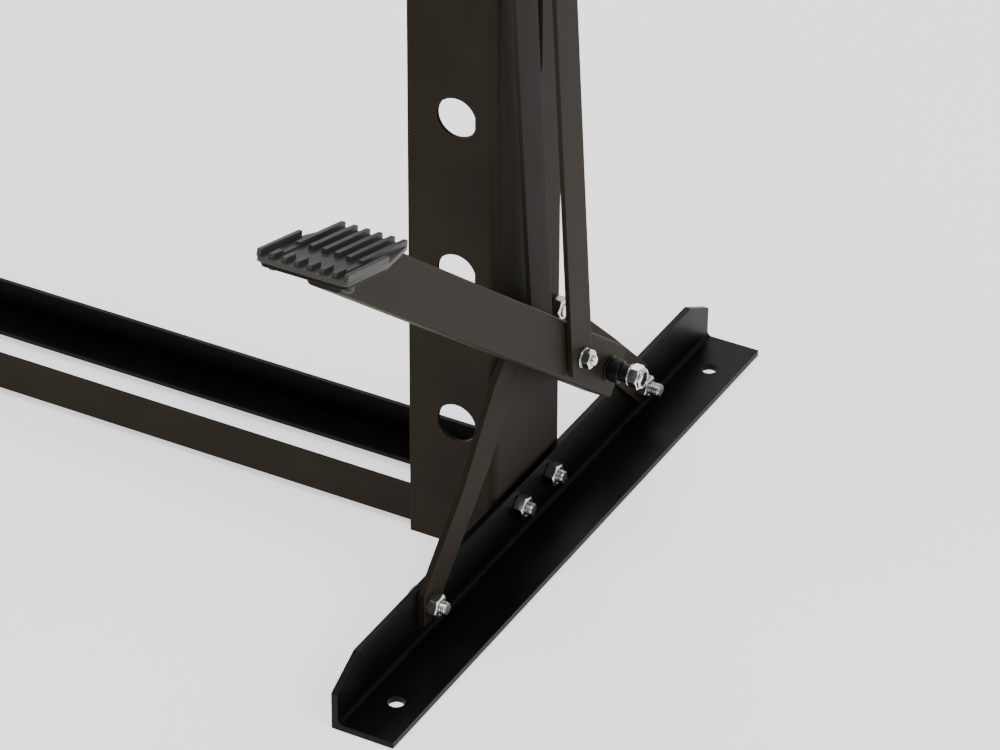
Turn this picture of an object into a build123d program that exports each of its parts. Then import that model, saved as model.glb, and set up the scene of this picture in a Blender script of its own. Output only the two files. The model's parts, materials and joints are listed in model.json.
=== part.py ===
"""Work-support stand (sawhorse) with a foot-pedal clamp at its near end.

+X runs along the rails from the far end to the near end, +Y from front to rear, +Z up.
The origin is on the floor, in the middle of the four anchor holes. Millimetres.
"""

import os
from math import atan2, cos, degrees, hypot, radians, sin, tan

from build123d import *

# ---- Overall ----
span = 860.0  # between the outer faces of the two post webs
running_gap = 0.3  # between pieces that move past each other
fit_gap = 0.3  # between pieces that are bolted one inside the other

# ---- Foot: an angle that lies across each end ----
foot_length = 452.0
foot_height = 37.5
foot_width = 39.0
foot_wall = 4.0
foot_fold_radius = 3.0
foot_end_height = 24.0  # height left at each end of the upright flange
foot_chamfer_length = 25.0
anchor_hole_d = 10.0
anchor_hole_y = 192.5
anchor_hole_x = 22.0  # from the upright flange's inner face

# ---- Post: an upright channel, open towards the middle of the stand ----
post_width = 80.0
post_depth = 56.0
post_wall = 3.0
post_bend_radius = 5.0
post_height = 700.0
row_hole_d = 25.0
row_hole_inset = 25.2  # from the web's outer face
row_hole_first = 85.0
row_hole_pitch = 101.0
slot_width = 26.0
slot_bottom = 290.0
slot_drop = 140.0  # from the post's top to the slot's

# ---- Fasteners ----
m8_d, m8_flats, m8_head, m8_nut, m8_hole = 8.0, 13.0, 5.3, 6.5, 9.0
m6_d, m6_flats, m6_nut, m6_hole = 6.0, 10.0, 5.0, 6.4
thread_slack = 0.05  # radial, between a bolt and its nut
foot_bolt_y = 19.0
foot_bolt_z = 25.0
bolt_proud = 4.0  # bolt left over outside its nut
upper_proud = 0.8  # the same, where the lever passes just outside
pin_head, pin_proud = 3.2, 2.0  # on the bolts that links and spring turn on
pin_washer_d, pin_washer = 12.0, 1.6
low_head = 3.4  # height of the one domed head that a link passes over
low_head_d = 18.0

# ---- Braces: cranked flat bars from the foot to the post ----
brace_wall = 4.0
brace_width = 22.0
brace_reach = 171.0  # |y| + z along the outer edge, at 45 degrees
brace_end_margin = 8.0  # from the foot bolt to the upright cut
brace_bottom = 14.0
brace_low_setback = 18.0  # foot bolt and post bolt, in from the outer edge
brace_top_setback = 10.0
brace_crank_z = 80.0
brace_crank_gap = 16.0  # flat length below the post bolt
brace_top_y = 23.0
brace_top_end_y = 17.0
pivot_lug_d = 24.0  # on the rear brace, behind the lever's stud

# ---- Base rails and their end plates ----
rail_flange = 24.0
rail_wall = 3.0
rail_bottom = 4.5
rail_plate = 4.0
rail_plate_top = 40.0
rail_plate_inner_y = 9.0

# ---- Beam between the posts ----
beam_height = 40.0
beam_wall = 2.5
beam_drop = 110.0  # from the posts' tops to the beam's underside
beam_radius = 5.0
beam_bolt_inset = (17.0, 41.0)

# ---- Cradles that hold the work ----
cradle_wall = 5.0
cradle_stem_half = 33.0
cradle_half = 96.0
cradle_vee_half = 72.0
cradle_corner = 12.0
cradle_tooth_count = 7
cradle_tooth_depth = 4.0
cradle_bolt_y = 20.0
cradle_stem_drop = 60.0  # the next five are heights below and above the post's top
cradle_bolt_drops = (45.0, 16.0)
cradle_shoulder_rise = 4.0
cradle_vee_rise = 30.0  # lowest point of the vee
cradle_tip_rise = 102.0

# ---- Pedal lever: rectangular tube on a stud ----
lever_gap = 12.0  # web's outer face to the lever's inner face
lever_width = 20.0
lever_height = 32.0
lever_wall = 2.0
lever_radius = 2.5
lever_angle = 38.4  # above level, pedal up
lever_tail = 16.0
pivot_y, pivot_z = 38.0, 96.3
lever_tip_y = -262.0
pad_angle = 15.0  # tread's slope down towards the post
pad_seat_y, pad_seat_z = -217.0, 314.4  # a point on the underside of the tread's plate

# ---- Pivot studs, the same on the lever and on the clamp arm ----
stud_shoulder_d = 14.0
bush_d = 15.0
bush_bore_gap = 0.05
boss_d, boss_length = 14.0, 8.5
boss_neck_d, boss_neck_length = 11.0, 5.3
washer_d, washer_wall = 13.0, 1.2
nyloc_height, nylon_height = 6.0, 2.0
nylon_d = 12.0

# ---- Tread plate and its rubber pad ----
plate_wall = 2.5
pad_front_half, pad_rear_half = 27.0, 20.0
pad_straight, pad_length = 43.5, 76.5
pad_overhang = 71.0  # of the tread, in front of the point it is placed by
pad_lip = 1.5  # rubber past the plate's edge all round
pad_base = 2.6
pad_corner = 3.0
rib_height, rib_wall = 3.0, 3.0
rib_count = 6
rib_start = 30.0  # where the long ribs begin
short_rib_start, short_rib_length = 1.5, 10.5
edge_rib_height, edge_rib_wall = 3.9, 2.6
step_height = 1.2  # of the low ridge that joins each outermost pair of ribs
pad_stud_d, pad_stud_drop = 6.0, 4.0
pad_stud_v, pad_stud_u = 22.0, 12.0

# ---- Links: two flat bars, one on each side of the lever ----
link_wall = 3.0
link_width = 23.0
link_gap = 1.0
link_pin_y = -2.6
link_lean = 0.1  # towards the front, for each unit of height
link_end = 6.8  # past the lower pin's middle
link_top_end = 13.0

# ---- Clamp arm, jaw and bracket ----
arm_pivot_y = 80.0
arm_rise = 100.0  # above the posts' tops
arm_front, arm_tail = 18.0, 37.0  # past the pin and past the pivot
arm_pin_clearance = 1.5  # radial, in the open pivot at the links' top
bracket_wall = 4.0
bracket_margin = 20.0
bracket_lip = 10.0
jaw_length, jaw_half = 60.0, 22.0
jaw_plate, jaw_tooth = 6.0, 6.0
jaw_tooth_count = 6
jaw_screw_y = 12.0
jaw_screw_head = 4.0
cap_wall, cap_depth = 2.5, 6.0

# ---- Return spring at the clamp arm's tail ----
spring_y = 106.0
spring_length = 100.0  # between its two pins
spring_coil_d = 14.0
spring_wire = 2.0
spring_hook = 14.0  # from a pin to the coil
spring_gap = 1.0  # from a pin's nut to the hook
spring_bolt_end = 3.0

# ---- Places worked out from the sizes ----
face = span / 2  # near web's outer face
web_in = face - post_wall
post_half = post_width / 2
slot_top = post_height - slot_drop
beam_bottom = post_height - beam_drop
beam_z = beam_bottom + beam_height / 2
brace_bolt_y = brace_reach - foot_bolt_z - brace_low_setback
brace_end_y = brace_bolt_y + brace_end_margin
brace_top_z = brace_reach - brace_top_y - brace_top_setback
row_hole_count = int((beam_bottom - row_hole_d - row_hole_first) / row_hole_pitch) + 1
arm_z = post_height + arm_rise
spring_low_z = arm_z - spring_length
cradle_bolt_z = [post_height - drop for drop in cradle_bolt_drops]
lever_in = face + lever_gap
lever_out = lever_in + lever_width
lever_mid = lever_in + lever_width / 2
inner_link = lever_in - link_gap - link_wall
outer_link = lever_out + link_gap
links_out = outer_link + link_wall
slope = tan(radians(lever_angle))
link_pin_z = pivot_z + (pivot_y - link_pin_y) * slope
arm_pin_y = link_pin_y - link_lean * (arm_z - link_pin_z)
stud_end = lever_out + running_gap + boss_length + boss_neck_length + washer_wall + nyloc_height + fit_gap
nut_bore = m8_d + 2 * thread_slack
pad_run = Vector(0, cos(radians(pad_angle)), -sin(radians(pad_angle)))


def across(x):
    """A plane square to X, with its own axes along +Y and +Z."""
    return Plane(origin=(x, 0, 0), x_dir=(0, 1, 0), z_dir=(1, 0, 0))


def lengthwise(y):
    """A plane square to Y, with its own axes along +X and +Z."""
    return Plane(origin=(0, y, 0), x_dir=(1, 0, 0), z_dir=(0, -1, 0))


def discs(x, places, diameter, length, mode=Mode.ADD):
    """Round bars or holes along +X from x."""
    with BuildSketch(across(x)) as profile:
        with Locations(*places):
            Circle(diameter / 2)
    extrude(profile.sketch, amount=length, mode=mode)


def rings(x, places, outer_d, inner_d, length):
    """Round collars along +X from x."""
    with BuildSketch(across(x)) as profile:
        with Locations(*places):
            Circle(outer_d / 2)
            Circle(inner_d / 2, mode=Mode.SUBTRACT)
    extrude(profile.sketch, amount=length)


def tube(plane, centre, width, height, radius, wall, length):
    """Rectangular tube grown along a plane's normal."""
    with BuildSketch(plane) as profile:
        with Locations(centre):
            RectangleRounded(width, height, radius)
            RectangleRounded(width - 2 * wall, height - 2 * wall, radius / 2, mode=Mode.SUBTRACT)
    extrude(profile.sketch, amount=length)


def hexes(x, places, flats, length, bore=0.0):
    """Hexagon heads, or nuts when they have a bore, along +X from x."""
    with BuildSketch(across(x)) as profile:
        with Locations(*places):
            RegularPolygon(flats / 2, 6, major_radius=False)
            if bore:
                Circle(bore / 2, mode=Mode.SUBTRACT)
    extrude(profile.sketch, amount=length)


def outline(plane, points, length, mode=Mode.ADD):
    """A plate with straight edges, drawn on a plane and grown along its normal."""
    with BuildSketch(plane) as profile:
        with BuildLine():
            Polyline(*points, close=True)
        make_face()
    extrude(profile.sketch, amount=length, mode=mode)


def write(piece, name):
    piece.part.label = name
    export_step(piece.part, f"parts/{name}.step")


def write_far(piece, name):
    """Writes the mirror image, at the far end, of a piece made at the near end."""
    with BuildPart() as far:
        mirror(piece.part, about=Plane.YZ)
    write(far, name)


os.makedirs("parts", exist_ok=True)
pivot = (pivot_y, pivot_z)
both = (-1, 1)
post_bolts = [(side * foot_bolt_y, foot_bolt_z) for side in both]
brace_bolts = [(side * brace_bolt_y, foot_bolt_z) for side in both]
brace_tops = [(side * brace_top_y, brace_top_z) for side in both]
cradle_bolts = [(side * cradle_bolt_y, z) for side in both for z in cradle_bolt_z]
beam_bolt_places = [(face - inset, beam_z) for inset in beam_bolt_inset]
row_holes = [(face - row_hole_inset, row_hole_first + i * row_hole_pitch) for i in range(row_hole_count)]

# ---- Feet ----
with BuildPart() as foot:
    with BuildSketch(lengthwise(foot_length / 2)) as foot_profile:
        with BuildLine():
            Polyline(
                (face, 0),
                (face + foot_width, 0),
                (face + foot_width, foot_wall),
                (face + foot_wall, foot_wall),
                (face + foot_wall, foot_height),
                (face, foot_height),
                close=True,
            )
        make_face()
        fold = foot_profile.vertices().sort_by_distance((face + foot_wall, foot_wall))[0]
        fillet(fold, foot_fold_radius)
    extrude(amount=foot_length)
    for side in both:
        foot_end = side * foot_length / 2
        wedge = [
            (foot_end - side * foot_chamfer_length, foot_height),
            (foot_end, foot_end_height),
            (foot_end, foot_height),
        ]
        outline(across(face), wedge, foot_wall, Mode.SUBTRACT)
    discs(face, post_bolts + brace_bolts, m8_hole, foot_wall, Mode.SUBTRACT)
    with BuildSketch(Plane.XY):
        with Locations(*[(face + anchor_hole_x, side * anchor_hole_y) for side in both]):
            Circle(anchor_hole_d / 2)
    extrude(amount=foot_wall, mode=Mode.SUBTRACT)
write(foot, "foot_near")
write_far(foot, "foot_far")

# ---- Posts ----
with BuildPart() as post:
    with BuildSketch(Plane.XY):
        with BuildLine():
            lip, clear_half = face - post_depth, post_half - post_wall
            FilletPolyline(
                (lip, -post_half),
                (face, -post_half),
                (face, post_half),
                (lip, post_half),
                radius=post_bend_radius,
            )
            Line((lip, post_half), (lip, clear_half))
            FilletPolyline(
                (lip, clear_half),
                (web_in, clear_half),
                (web_in, -clear_half),
                (lip, -clear_half),
                radius=post_bend_radius - post_wall,
            )
            Line((lip, -clear_half), (lip, -post_half))
        make_face()
    extrude(amount=post_height)
    with BuildSketch(lengthwise(post_width)):
        with Locations(*row_holes):
            Circle(row_hole_d / 2)
        with Locations(*beam_bolt_places):
            Circle(m8_hole / 2)
    extrude(amount=2 * post_width, mode=Mode.SUBTRACT)
    discs(web_in, post_bolts + brace_tops + cradle_bolts, m8_hole, post_wall, Mode.SUBTRACT)
    with BuildSketch(across(web_in)):
        with Locations((0, (slot_bottom + slot_top) / 2)):
            SlotOverall(slot_top - slot_bottom, slot_width, rotation=90)
    extrude(amount=post_wall, mode=Mode.SUBTRACT)
write(post, "post_near")
write_far(post, "post_far")

# ---- Braces ----
brace_inner = brace_reach - brace_width * 2**0.5


def brace_outline(side, low, high):
    """The 45-degree bar's outline between two heights, with an upright cut at each end."""
    outer_low, outer_high = brace_reach - brace_end_y, brace_reach - brace_top_end_y
    points = [(brace_inner - low, low)]
    if low < outer_low:
        points += [(brace_end_y, low), (brace_end_y, outer_low)]
    else:
        points += [(brace_reach - low, low)]
    if high >= outer_high:
        points += [(brace_top_end_y, outer_high), (brace_top_end_y, brace_inner - brace_top_end_y)]
    else:
        points += [(brace_reach - high, high), (brace_inner - high, high)]
    return [(side * y, z) for y, z in points]


def brace(side):
    """Lower length outside the foot, upper length on the post, and the crank between them."""
    crank_top = brace_top_z - brace_crank_gap
    with BuildPart() as bar:
        outline(across(face + foot_wall), brace_outline(side, brace_bottom, brace_crank_z), brace_wall)
        outline(across(face), brace_outline(side, crank_top, brace_reach), brace_wall)
        middle = (brace_reach + brace_inner) / 2
        for x, z in ((face + foot_wall, brace_crank_z), (face, crank_top)):
            with BuildSketch(Plane.XY.offset(z)):
                with Locations((x + brace_wall / 2, side * (middle - z))):
                    Rectangle(brace_wall, brace_reach - brace_inner)
        loft(ruled=True)
        discs(face + foot_wall, [(side * brace_bolt_y, foot_bolt_z)], m8_hole, brace_wall, Mode.SUBTRACT)
        discs(face, [(side * brace_top_y, brace_top_z)], m8_hole, brace_wall, Mode.SUBTRACT)
    return bar


front_brace = brace(-1)
write(front_brace, "brace_near_front")
write_far(front_brace, "brace_far_front")
with BuildPart() as rear_brace:
    add(brace(1).part)
    discs(face, [pivot], pivot_lug_d, brace_wall)
    discs(face + brace_wall, [pivot], stud_shoulder_d + 2 * fit_gap, foot_wall, Mode.SUBTRACT)
write(rear_brace, "brace_near_rear")
write_far(rear_brace, "brace_far_rear")

# ---- Base rails with their welded end plates ----
inside_half = post_half - post_wall - fit_gap
rail_end = web_in - rail_plate
for place, side in (("front", -1), ("rear", 1)):
    with BuildPart() as rail:
        rail_out = side * inside_half
        rail_in = side * (inside_half - rail_flange)
        rail_upright = side * (inside_half - rail_wall)
        rail_profile = [
            (rail_out, rail_bottom),
            (rail_in, rail_bottom),
            (rail_in, rail_bottom + rail_wall),
            (rail_upright, rail_bottom + rail_wall),
            (rail_upright, rail_bottom + rail_flange),
            (rail_out, rail_bottom + rail_flange),
        ]
        outline(across(-rail_end), rail_profile, 2 * rail_end)
        plate_out = side * (inside_half - post_bend_radius + post_wall)
        plate_in = side * rail_plate_inner_y
        plate_outline = [
            (plate_out, rail_bottom),
            (plate_in, rail_bottom),
            (plate_in, rail_plate_top),
            (plate_out, rail_plate_top),
        ]
        for x in (-rail_end - rail_plate, rail_end):
            outline(across(x), plate_outline, rail_plate)
            discs(x, [(side * foot_bolt_y, foot_bolt_z)], m8_hole, rail_plate, Mode.SUBTRACT)
    write(rail, f"rail_{place}")

# ---- Top beam, bolted inside the posts ----
beam_end = web_in - post_bend_radius
with BuildPart() as beam:
    tube(across(-beam_end), (0, beam_z), 2 * inside_half, beam_height, beam_radius, beam_wall, 2 * beam_end)
    with BuildSketch(lengthwise(post_width)):
        with Locations(*[(side * (face - inset), beam_z) for side in both for inset in beam_bolt_inset]):
            Circle(m8_hole / 2)
    extrude(amount=2 * post_width, mode=Mode.SUBTRACT)
write(beam, "top_beam")

# ---- Cradles: plates with a toothed vee, bolted inside the webs ----
cradle_back = web_in - cradle_wall
with BuildPart() as cradle:
    vee_depth = cradle_tip_rise - cradle_vee_rise
    flank = []
    for i in range(cradle_tooth_count):
        share, after = i / cradle_tooth_count, (i + 1) / cradle_tooth_count
        flank.append((cradle_vee_half * share, cradle_vee_rise + vee_depth * share))
        flank.append((cradle_vee_half * after, cradle_vee_rise + vee_depth * after - cradle_tooth_depth))
    cheek = flank + [
        (cradle_vee_half, cradle_tip_rise),
        (cradle_half - cradle_corner, cradle_tip_rise),
        (cradle_half, cradle_tip_rise - cradle_corner),
        (cradle_half, cradle_vee_rise),
        (cradle_stem_half + cradle_corner, cradle_shoulder_rise),
        (cradle_stem_half, cradle_shoulder_rise),
        (cradle_stem_half, -cradle_stem_drop),
    ]
    cheek += [(-y, rise) for y, rise in reversed(cheek) if y > 0]
    outline(across(cradle_back), [(y, post_height + rise) for y, rise in cheek], cradle_wall)
    discs(cradle_back, cradle_bolts, m8_hole, cradle_wall, Mode.SUBTRACT)
write(cradle, "cradle_near")
write_far(cradle, "cradle_far")

# ---- Pedal lever with its bush ----
lever_dir = (-cos(radians(lever_angle)), sin(radians(lever_angle)))
lever_up = (sin(radians(lever_angle)), cos(radians(lever_angle)))


def on_lever(along, above):
    """A point from its distance along the lever from the pivot and above its middle line."""
    return (
        pivot_y + along * lever_dir[0] + above * lever_up[0],
        pivot_z + along * lever_dir[1] + above * lever_up[1],
    )


lever_reach = (pivot_y - lever_tip_y) / cos(radians(lever_angle)) + lever_height
lever_plane = Plane(
    origin=(lever_mid, *on_lever(-lever_tail, 0)),
    x_dir=(1, 0, 0),
    z_dir=(0, *lever_dir),
)
seat_slope = tan(radians(pad_angle))
tip_z = pad_seat_z + (pad_seat_y - lever_tip_y) * seat_slope
well_out, well_up = lever_tip_y - 3 * lever_height, tip_z + 4 * lever_height
above_seat = [
    (pad_seat_y + lever_height, pad_seat_z - lever_height * seat_slope),
    (lever_tip_y, tip_z),
    (lever_tip_y, 0),
    (well_out, 0),
    (well_out, well_up),
    (pad_seat_y + lever_height, well_up),
]
link_pin = (link_pin_y, link_pin_z)
with BuildPart() as lever:
    tube(lever_plane, (0, 0), lever_width, lever_height, lever_radius, lever_wall, lever_tail + lever_reach)
    outline(across(lever_in), above_seat, lever_width, Mode.SUBTRACT)
    discs(lever_in, [pivot], bush_d, lever_width, Mode.SUBTRACT)
    discs(lever_in, [link_pin], m6_hole, lever_width, Mode.SUBTRACT)
write(lever, "pedal_lever")

with BuildPart() as lever_bush:
    rings(lever_in, [pivot], bush_d, m8_d + 2 * bush_bore_gap, lever_width)
write(lever_bush, "lever_bush")


def pivot_set(place, base, names):
    """A shouldered stud from a plate's face at base, then boss, washer, nut and nylon ring."""
    with BuildPart() as stud:
        discs(base, [place], stud_shoulder_d, lever_in - running_gap - base)
        discs(base, [place], m8_d, stud_end - base)
    write(stud, names[0])
    x = lever_out + running_gap
    with BuildPart() as boss:
        rings(x, [place], boss_d, nut_bore, boss_length)
        rings(x + boss_length, [place], boss_neck_d, nut_bore, boss_neck_length)
    write(boss, names[1])
    x += boss_length + boss_neck_length
    with BuildPart() as washer:
        rings(x, [place], washer_d, nut_bore, washer_wall)
    write(washer, names[2])
    x += washer_wall
    with BuildPart() as nut:
        hexes(x, [place], m8_flats, nyloc_height, nut_bore)
    write(nut, names[3])
    with BuildPart() as ring:
        rings(x + nyloc_height, [place], nylon_d, nut_bore, nylon_height)
    write(ring, names[4])


pivot_set(
    pivot,
    face + brace_wall,
    ["lever_pivot_stud", "lever_pivot_boss", "lever_pivot_washer", "lever_pivot_nut", "lever_nut_insert"],
)

# ---- Tread plate and rubber pad ----
plate_front = Vector(lever_mid, pad_seat_y, pad_seat_z) - pad_run * pad_overhang
pad_up = Vector(0, sin(radians(pad_angle)), cos(radians(pad_angle)))


def tread_plane(height):
    """u runs along the tread from its front edge and v across it, at a height above the plate's underside."""
    return Plane(origin=plate_front + pad_up * height, x_dir=pad_run, z_dir=pad_up)


def tread_outline(inset):
    front, rear = pad_front_half - inset, pad_rear_half - inset
    flank = [
        (inset, front - pad_corner),
        (inset + pad_corner, front),
        (pad_straight, front),
        (pad_length - inset, rear),
    ]
    return flank + [(u, -v) for u, v in reversed(flank)]


pad_studs = [(pad_stud_u, -pad_stud_v), (pad_stud_u, pad_stud_v)]
with BuildPart() as tread:
    outline(tread_plane(0), tread_outline(pad_lip), plate_wall)
    with BuildSketch(tread_plane(0)):
        with Locations(*pad_studs):
            Circle(pad_stud_d / 2 + fit_gap)
    extrude(amount=plate_wall, mode=Mode.SUBTRACT)
write(tread, "pedal_plate")


def ribs(middles, start, length, wall, height):
    """Straight ribs along the tread, standing on the pad's base."""
    with BuildSketch(tread_plane(plate_wall + pad_base)) as profile:
        with Locations(*[(start + length / 2, v) for v in middles]):
            Rectangle(length, wall)
    extrude(profile.sketch, amount=height)


with BuildPart() as pad:
    outline(tread_plane(plate_wall), tread_outline(0), pad_base)
    outer_rib = pad_rear_half - rib_wall / 2
    edge_rib = pad_front_half - edge_rib_wall / 2
    rows = [outer_rib * (2 * i / (rib_count - 1) - 1) for i in range(rib_count)]
    ribs(rows, rib_start, pad_length - rib_start, rib_wall, rib_height)
    ribs(rows, short_rib_start, short_rib_length, rib_wall, rib_height)
    ribs((rows[0], rows[-1]), short_rib_start, rib_start - short_rib_start, rib_wall, step_height)
    ribs((-edge_rib, edge_rib), pad_corner, pad_straight - pad_corner, edge_rib_wall, edge_rib_height)
    with BuildSketch(tread_plane(-pad_stud_drop)):
        with Locations(*pad_studs):
            Circle(pad_stud_d / 2)
    extrude(amount=pad_stud_drop + plate_wall)
write(pad, "pedal_pad")

# ---- Links and their bolts ----
link_slant = degrees(atan2(link_lean, 1))
link_length = hypot(arm_pin_y - link_pin_y, arm_z - link_pin_z)
arm_pin = (arm_pin_y, arm_z)
for name, x in (("link_inner", inner_link), ("link_outer", outer_link)):
    with BuildPart() as link:
        with BuildSketch(across(x)):
            with Locations(Location(link_pin, link_slant)):
                with Locations((0, (link_length + link_top_end - link_end) / 2)):
                    Rectangle(link_width, link_length + link_top_end + link_end)
            with Locations(link_pin):
                Circle(m6_hole / 2, mode=Mode.SUBTRACT)
            with Locations(arm_pin):
                Circle(m8_hole / 2, mode=Mode.SUBTRACT)
        extrude(amount=link_wall)
    write(link, name)

with BuildPart() as link_bolt_low:
    hexes(inner_link - pin_head, [link_pin], m6_flats, pin_head)
    discs(inner_link, [link_pin], m6_d, links_out + pin_washer + m6_nut + pin_proud - inner_link)
write(link_bolt_low, "link_bolt_low")
with BuildPart() as link_nut_low:
    rings(links_out, [link_pin], pin_washer_d, m6_d + 2 * thread_slack, pin_washer)
    hexes(links_out + pin_washer, [link_pin], m6_flats, m6_nut, m6_d + 2 * thread_slack)
write(link_nut_low, "link_nut_low")
with BuildPart() as link_bolt_top:
    hexes(inner_link - pin_head, [arm_pin], m8_flats, pin_head)
    discs(inner_link, [arm_pin], m8_d, links_out + m8_nut + pin_proud - inner_link)
write(link_bolt_top, "link_bolt_top")
with BuildPart() as link_nut_top:
    hexes(links_out, [arm_pin], m8_flats, m8_nut, nut_bore)
write(link_nut_top, "link_nut_top")

# ---- Clamp arm, its bush, jaw, screws and end caps ----
arm_place = (arm_pivot_y, arm_z)
arm_start, arm_stop = arm_pin_y - arm_front, arm_pivot_y + arm_tail
spring_top, spring_low = (spring_y, arm_z), (spring_y, spring_low_z)
jaw_screws = [(lever_mid, side * jaw_screw_y) for side in both]
with BuildPart() as arm:
    arm_length = arm_stop - arm_start
    arm_middle = (lever_mid, arm_z)
    tube(lengthwise(arm_stop), arm_middle, lever_width, lever_height, lever_radius, lever_wall, arm_length)
    discs(lever_in, [arm_place], bush_d, lever_width, Mode.SUBTRACT)
    discs(lever_in, [arm_pin], m8_d + 2 * arm_pin_clearance, lever_width, Mode.SUBTRACT)
    discs(lever_in, [spring_top], m6_hole, lever_width, Mode.SUBTRACT)
    with BuildSketch(Plane.XY.offset(arm_z - lever_height)):
        with Locations(*jaw_screws):
            Circle(m6_hole / 2)
    extrude(amount=2 * lever_height, mode=Mode.SUBTRACT)
write(arm, "clamp_arm")
with BuildPart() as arm_bush:
    rings(lever_in, [arm_place], bush_d, m8_d + 2 * bush_bore_gap, lever_width)
write(arm_bush, "arm_bush")

arm_under = arm_z - lever_height / 2
jaw_low = arm_under - jaw_plate - jaw_tooth
with BuildPart() as jaw:
    teeth = []
    step = 2 * jaw_half / jaw_tooth_count
    for i in range(jaw_tooth_count):
        teeth.append((-jaw_half + i * step, jaw_low + jaw_tooth))
        teeth.append((-jaw_half + (i + 0.5) * step, jaw_low))
    teeth.append((jaw_half, jaw_low + jaw_tooth))
    teeth += [(jaw_half, arm_under), (-jaw_half, arm_under)]
    outline(across(lever_out - jaw_length), teeth, jaw_length)
    with BuildSketch(Plane.XY.offset(jaw_low)):
        with Locations(*jaw_screws):
            Circle(m6_hole / 2)
    extrude(amount=arm_under - jaw_low, mode=Mode.SUBTRACT)
write(jaw, "clamp_jaw")
with BuildPart() as jaw_bolts:
    with BuildSketch(Plane.XY.offset(arm_z + lever_height / 2)):
        with Locations(*jaw_screws):
            RegularPolygon(m6_flats / 2, 6, major_radius=False)
    extrude(amount=jaw_screw_head)
    with BuildSketch(Plane.XY.offset(arm_under - jaw_plate)):
        with Locations(*jaw_screws):
            Circle(m6_d / 2)
    extrude(amount=jaw_plate + lever_height)
write(jaw_bolts, "jaw_bolts")
with BuildPart() as arm_caps:
    for end, way in ((arm_start, -1), (arm_stop, 1)):
        with BuildSketch(lengthwise(end)):
            with Locations((lever_mid, arm_z)):
                RectangleRounded(lever_width, lever_height, lever_radius)
        extrude(amount=-way * cap_wall)
        with BuildSketch(lengthwise(end)):
            with Locations((lever_mid, arm_z)):
                plug = 2 * (lever_wall + fit_gap)
                RectangleRounded(lever_width - plug, lever_height - plug, lever_radius / 2)
        extrude(amount=way * cap_depth)
write(arm_caps, "arm_end_caps")

# ---- Bracket that carries the clamp arm's stud ----
with BuildPart() as bracket:
    low, high = cradle_bolt_z
    bracket_points = [
        (-cradle_bolt_y - bracket_lip, low - bracket_lip),
        (cradle_bolt_y + bracket_lip, low - bracket_lip),
        (spring_y + bracket_lip, spring_low_z - bracket_lip),
        (spring_y + bracket_lip, spring_low_z + bracket_lip),
        (arm_pivot_y + bracket_margin, spring_low_z + 2 * bracket_margin),
        (arm_pivot_y + bracket_margin, arm_z + bracket_lip),
        (arm_pivot_y + bracket_lip, arm_z + bracket_margin),
        (arm_pivot_y - bracket_lip, arm_z + bracket_margin),
        (-cradle_bolt_y - bracket_lip, high + bracket_lip),
    ]
    outline(across(face), bracket_points, bracket_wall)
    discs(face, cradle_bolts, m8_hole, bracket_wall, Mode.SUBTRACT)
    discs(face, [spring_low], m6_hole, bracket_wall, Mode.SUBTRACT)
write(bracket, "clamp_bracket")
pivot_set(
    arm_place,
    face + bracket_wall,
    ["arm_pivot_stud", "arm_pivot_boss", "arm_pivot_washer", "arm_pivot_nut", "arm_nut_insert"],
)

# ---- Return spring with its two pins ----
hook_x = lever_out + m6_nut + spring_gap
pin_end = hook_x + spring_wire + spring_bolt_end
with BuildPart() as spring:
    eye = spring_coil_d
    for place in (spring_top, spring_low):
        rings(hook_x, [place], eye, m6_d + 2 * running_gap, spring_wire)
    coil_low, coil_high = spring_low_z + spring_hook, arm_z - spring_hook
    with BuildSketch(Plane.XY.offset(coil_low)):
        with Locations((hook_x + spring_wire / 2, spring_y)):
            Circle(spring_coil_d / 2)
            Circle(spring_coil_d / 2 - spring_wire, mode=Mode.SUBTRACT)
    extrude(amount=coil_high - coil_low)
    for z in (spring_low_z + eye / 2 - spring_wire / 2, coil_high - spring_wire):
        with BuildSketch(Plane.XY.offset(z)):
            with Locations((hook_x + spring_wire / 2, spring_y)):
                Rectangle(spring_wire, spring_coil_d)
        extrude(amount=spring_hook - eye / 2 + 1.5 * spring_wire)
write(spring, "return_spring")
with BuildPart() as spring_bolt_top:
    hexes(lever_in - pin_head, [spring_top], m6_flats, pin_head)
    discs(lever_in, [spring_top], m6_d, pin_end - lever_in)
write(spring_bolt_top, "spring_bolt_top")
with BuildPart() as spring_bolt_low:
    hexes(face - pin_head, [spring_low], m6_flats, pin_head)
    discs(face, [spring_low], m6_d, pin_end - face)
write(spring_bolt_low, "spring_bolt_low")
with BuildPart() as spring_nut_top:
    hexes(lever_out, [spring_top], m6_flats, m6_nut, m6_d + 2 * thread_slack)
write(spring_nut_top, "spring_nut_top")
with BuildPart() as spring_nut_low:
    hexes(face + bracket_wall, [spring_low], m6_flats, m6_nut, m6_d + 2 * thread_slack)
write(spring_nut_low, "spring_nut_low")


# ---- Bolts and nuts that hold the frame together ----
def bolt(places, base, stack):
    """Hexagon-headed bolts: heads end at base, and each bolt stands bolt_proud past its nut."""
    hexes(base - m8_head, places, m8_flats, m8_head)
    discs(base, places, m8_d, stack + m8_nut + bolt_proud)


with BuildPart() as foot_bolts:
    bolt(post_bolts, rail_end, face + foot_wall - rail_end)
    bolt(brace_bolts, face, foot_wall + brace_wall)
write(foot_bolts, "foot_bolts_near")
write_far(foot_bolts, "foot_bolts_far")

with BuildPart() as foot_nuts:
    hexes(face + foot_wall, post_bolts, m8_flats, m8_nut, nut_bore)
    hexes(face + foot_wall + brace_wall, brace_bolts, m8_flats, m8_nut, nut_bore)
write(foot_nuts, "foot_nuts_near")
write_far(foot_nuts, "foot_nuts_far")

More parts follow.
